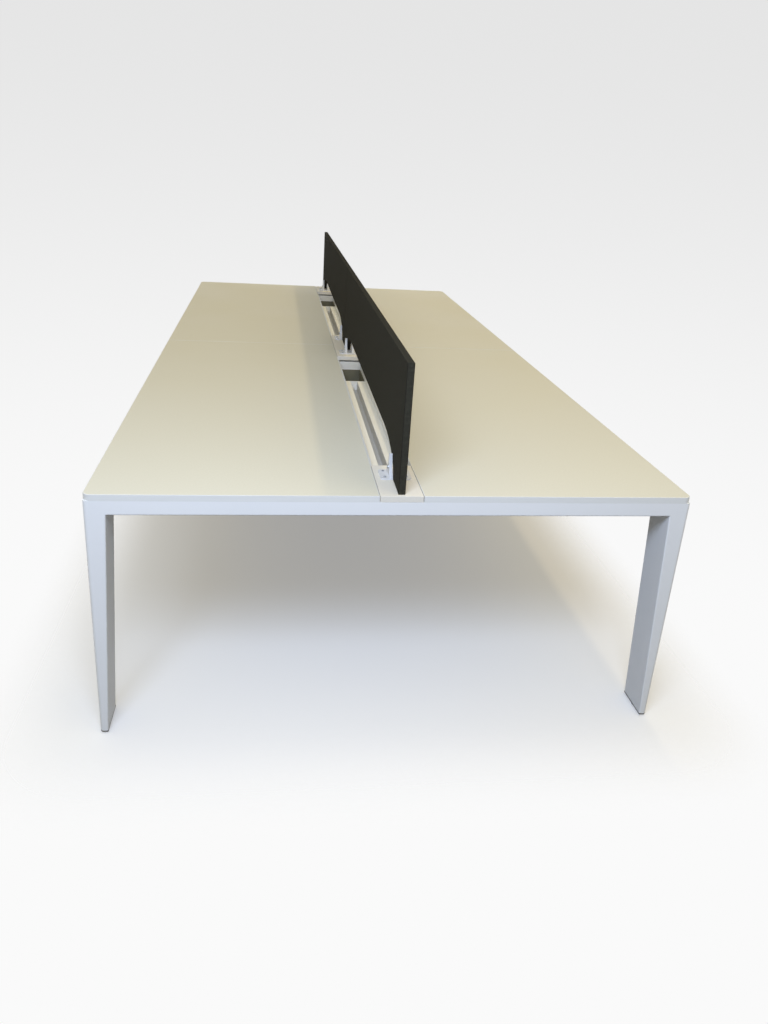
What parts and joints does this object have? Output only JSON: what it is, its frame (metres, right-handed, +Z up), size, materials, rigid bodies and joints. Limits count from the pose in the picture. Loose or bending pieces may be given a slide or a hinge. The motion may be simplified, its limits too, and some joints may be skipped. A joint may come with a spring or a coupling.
{
  "type": "benching desk",
  "caption": "Long double-sided benching desk: back-to-back pale worktops on tapered blade legs, an open cable channel and a dark raised screen along the middle.",
  "frame": {"origin": "on the floor, below the middle of the bench", "axes": "+Z up, Y along the bench, X across it from one row of seats to the other"},
  "size_m": [1.64, 3.6, 1.1],
  "materials": {
    "worktop_laminate": "satin melamine laminate on chipboard, warm off-white",
    "infill_laminate": "satin melamine laminate on board, pale warm grey",
    "pocket_plastic": "moulded plastic, grey-brown",
    "edge_lipping": "glued plastic edge lipping, pale grey",
    "frame_paint": "light silver powder coat on steel, fine texture",
    "tray_paint": "white powder coat on folded steel sheet",
    "screen_fabric": "charcoal woven fabric stretched over a board",
    "clamp_paint": "pale silver powder coat",
    "foot_plastic": "moulded black nylon"
  },
  "bodies": {
    "bench": {"bridge_far_end": "tray_paint", "bridge_far_middle": "tray_paint", "bridge_near_end": "tray_paint", "bridge_near_middle": "tray_paint", "cable_pocket_far": "pocket_plastic", "cable_pocket_near": "pocket_plastic", "cable_tray_far": "tray_paint", "cable_tray_near": "tray_paint", "edge_band_far_left": "edge_lipping", "edge_band_far_right": "edge_lipping", "edge_band_near_left": "edge_lipping", "edge_band_near_right": "edge_lipping", "end_beam_far": "frame_paint", "end_beam_near": "frame_paint", "end_cover_far": "infill_laminate", "end_cover_near": "infill_laminate", "foot_shoe_far_left": "foot_plastic", "foot_shoe_far_right": "foot_plastic", "foot_shoe_middle_left": "foot_plastic", "foot_shoe_middle_right": "foot_plastic", "foot_shoe_near_left": "foot_plastic", "foot_shoe_near_right": "foot_plastic", "inner_beam_far_left": "frame_paint", "inner_beam_far_right": "frame_paint", "inner_beam_near_left": "frame_paint", "inner_beam_near_right": "frame_paint", "leg_far_left": "frame_paint", "leg_far_right": "frame_paint", "leg_middle_left": "frame_paint", "leg_middle_right": "frame_paint", "leg_near_left": "frame_paint", "leg_near_right": "frame_paint", "middle_beam": "frame_paint", "middle_cover": "infill_laminate", "outer_beam_far_left": "frame_paint", "outer_beam_far_right": "frame_paint", "outer_beam_near_left": "frame_paint", "outer_beam_near_right": "frame_paint", "screen_clamp_far_end": "clamp_paint", "screen_clamp_far_middle": "clamp_paint", "screen_clamp_near_end": "clamp_paint", "screen_clamp_near_middle": "clamp_paint", "screen_far": "screen_fabric", "screen_foot_far_end": "screen_fabric", "screen_foot_far_middle": "screen_fabric", "screen_foot_near_end": "screen_fabric", "screen_foot_near_middle": "screen_fabric", "screen_near": "screen_fabric", "worktop_far_left": "worktop_laminate", "worktop_far_right": "worktop_laminate", "worktop_near_left": "worktop_laminate", "worktop_near_right": "worktop_laminate"},
    "levelling_foot_far_left": {"levelling_foot_far_left": "foot_plastic"},
    "levelling_foot_far_right": {"levelling_foot_far_right": "foot_plastic"},
    "levelling_foot_middle_left": {"levelling_foot_middle_left": "foot_plastic"},
    "levelling_foot_middle_right": {"levelling_foot_middle_right": "foot_plastic"},
    "levelling_foot_near_left": {"levelling_foot_near_left": "foot_plastic"},
    "levelling_foot_near_right": {"levelling_foot_near_right": "foot_plastic"}
  },
  "joints": [
    {"name": "level_far_left", "type": "slide", "parent": "bench", "child": "levelling_foot_far_left", "axis": [0, 0, -1], "range_m": [0, 0.015]},
    {"name": "level_far_right", "type": "slide", "parent": "bench", "child": "levelling_foot_far_right", "axis": [0, 0, -1], "range_m": [0, 0.015]},
    {"name": "level_middle_left", "type": "slide", "parent": "bench", "child": "levelling_foot_middle_left", "axis": [0, 0, -1], "range_m": [0, 0.015]},
    {"name": "level_middle_right", "type": "slide", "parent": "bench", "child": "levelling_foot_middle_right", "axis": [0, 0, -1], "range_m": [0, 0.015]},
    {"name": "level_near_left", "type": "slide", "parent": "bench", "child": "levelling_foot_near_left", "axis": [0, 0, -1], "range_m": [0, 0.015]},
    {"name": "level_near_right", "type": "slide", "parent": "bench", "child": "levelling_foot_near_right", "axis": [0, 0, -1], "range_m": [0, 0.015]}
  ]
}
